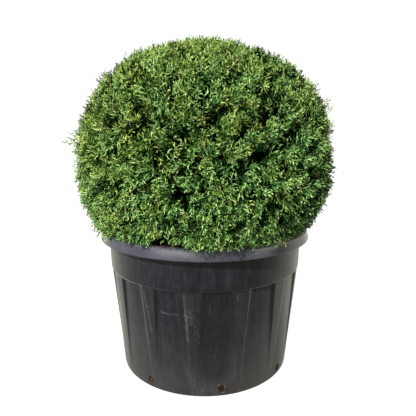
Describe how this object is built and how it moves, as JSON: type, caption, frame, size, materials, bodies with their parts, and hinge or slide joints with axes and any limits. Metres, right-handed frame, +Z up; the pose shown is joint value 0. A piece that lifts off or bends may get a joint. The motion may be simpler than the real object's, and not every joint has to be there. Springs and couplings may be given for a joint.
{
  "type": "potted thuja ball",
  "caption": "Clipped evergreen thuja ball standing in its own ribbed black plastic nursery container, for a garden or patio.",
  "frame": {"origin": "centre of the flat underside of the container, on the surface that it stands on", "axes": "+Z up along the container's axis; -Y towards the front, as pictured; +X to the right of the front"},
  "size_m": [1.0374, 0.9783, 1.2625],
  "materials": {
    "pot": "black moulded plastic, satin, dusty and lightly scratched",
    "soil": "damp brown potting soil with bits of bark",
    "bark": "stringy grey-brown bark in long ridges",
    "foliage": "flat scale-leaved sprays, mid green with yellow-green tips"
  },
  "bodies": {
    "root": {"pot": "pot", "soil": "soil", "trunk": "bark", "leader": "bark", "bough_upper_1": "bark", "bough_upper_2": "bark", "bough_upper_3": "bark", "bough_upper_4": "bark", "bough_upper_5": "bark", "bough_upper_6": "bark", "bough_lower_1": "bark", "bough_lower_2": "bark", "bough_lower_3": "bark", "bough_lower_4": "bark", "bough_lower_5": "bark", "bough_lower_6": "bark", "bough_lower_7": "bark", "foliage_top": "foliage", "foliage_upper_1": "foliage", "foliage_upper_2": "foliage", "foliage_upper_3": "foliage", "foliage_upper_4": "foliage", "foliage_upper_5": "foliage", "foliage_upper_6": "foliage", "foliage_lower_1": "foliage", "foliage_lower_2": "foliage", "foliage_lower_3": "foliage", "foliage_lower_4": "foliage", "foliage_lower_5": "foliage", "foliage_lower_6": "foliage", "foliage_lower_7": "foliage"}
  },
  "joints": []
}
